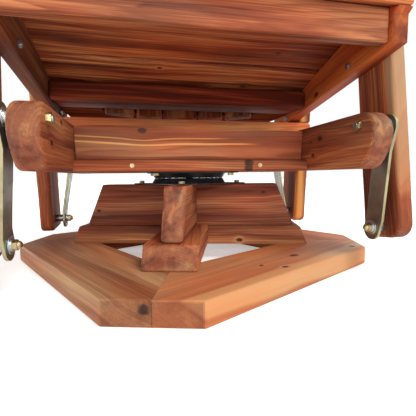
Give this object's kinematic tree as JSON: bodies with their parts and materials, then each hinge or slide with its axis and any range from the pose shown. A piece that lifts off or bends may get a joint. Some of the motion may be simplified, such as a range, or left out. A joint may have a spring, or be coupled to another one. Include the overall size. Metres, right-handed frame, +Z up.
{
  "type": "swivel glider chair",
  "caption": "Cedar Adirondack chair hung on steel straps from a swing frame that turns on a ball-bearing swivel over a boarded base.",
  "frame": {"origin": "on the swivel axis, at floor level", "axes": "+Z up along the swivel axis, +X to the viewer's right when facing the seat, -Y to the front, where the sitter looks; the base is turned 16.2 degrees below the chair at rest, as pictured"},
  "size_m": [0.818, 0.7482, 1.0302],
  "materials": {
    "cedar_heart": "stained eastern red cedar, satin, reddish brown heartwood",
    "cedar_dark": "stained cedar, satin, darker heartwood",
    "cedar_sap": "stained cedar, satin, with pale sapwood streaks",
    "zinc": "clear zinc plate, satin",
    "yellow_zinc": "yellow zinc plate, satin",
    "black_steel": "black enamel on pressed steel"
  },
  "bodies": {
    "base": {"ring_front_right": "cedar_sap", "ring_rear_right": "cedar_heart", "ring_rear_left": "cedar_dark", "ring_front_left": "cedar_dark", "cross_front_rear": "cedar_heart", "cross_side": "cedar_dark", "pedestal_front_rear": "cedar_heart", "pedestal_side": "cedar_sap", "swivel_lower_plate": "black_steel", "swivel_balls": "zinc", "swivel_rivet": "black_steel", "swivel_lower_lags": "yellow_zinc"},
    "swing_frame": {"swivel_upper_plate": "black_steel", "swivel_upper_lags": "yellow_zinc", "side_beam_right": "cedar_dark", "side_beam_left": "cedar_heart", "front_flat_board": "cedar_heart", "rear_flat_board": "cedar_heart", "front_rail": "cedar_heart", "rear_rail": "cedar_dark", "frame_screws": "yellow_zinc", "link_bolts_top": "zinc", "link_spacers_top": "zinc", "link_nuts_top": "yellow_zinc"},
    "front_links": {"link_front_right": "zinc", "link_front_left": "zinc"},
    "rear_links": {"link_rear_right": "zinc", "link_rear_left": "zinc"},
    "chair": {"link_bolts_foot": "zinc", "link_spacers_foot": "zinc", "link_nuts_foot": "zinc", "front_leg_right": "cedar_sap", "front_leg_left": "cedar_heart", "rear_leg_right": "cedar_sap", "rear_leg_left": "cedar_heart", "leg_bolts": "zinc", "stringer_right": "cedar_heart", "stringer_left": "cedar_heart", "seat_brace": "cedar_heart", "rear_stretcher": "cedar_sap", "seat_slat_1": "cedar_sap", "seat_slat_2": "cedar_heart", "seat_slat_3": "cedar_dark", "seat_slat_4": "cedar_heart", "seat_slat_rear": "cedar_heart", "front_apron": "cedar_heart", "back_slat_1": "cedar_dark", "back_slat_2": "cedar_heart", "back_slat_3": "cedar_sap", "back_slat_4": "cedar_heart", "back_slat_5": "cedar_dark", "back_slat_6": "cedar_heart", "back_slat_7": "cedar_sap", "lower_back_rail": "cedar_heart", "arm_rail": "cedar_heart", "upper_brace": "cedar_heart", "arm_right": "cedar_heart", "arm_left": "cedar_heart", "arm_corbels": "cedar_heart", "deck_screws": "zinc"}
  },
  "joints": [
    {"name": "swivel", "type": "hinge", "parent": "base", "child": "swing_frame", "pos_m": [0, 0, 0.17599], "axis": [0, 0, 1], "continuous": true},
    {"name": "glide", "type": "hinge", "parent": "swing_frame", "child": "front_links", "pos_m": [0, -0.282, 0.25399], "axis": [1, 0, 0], "range_deg": [-10, 10]},
    {"name": "rear_link_hinge", "type": "hinge", "parent": "swing_frame", "child": "rear_links", "pos_m": [0, 0.146, 0.25399], "axis": [1, 0, 0], "range_deg": [-9.5, 9.5]},
    {"name": "chair_hinge", "type": "hinge", "parent": "front_links", "child": "chair", "pos_m": [0, -0.23084, 0.08664], "axis": [1, 0, 0], "range_deg": [-11.53, 11.53]}
  ],
  "couplings": [
    {"joint": "rear_link_hinge", "follows": "glide", "ratio": 0.9497},
    {"joint": "chair_hinge", "follows": "glide", "ratio": -1.1525}
  ]
}
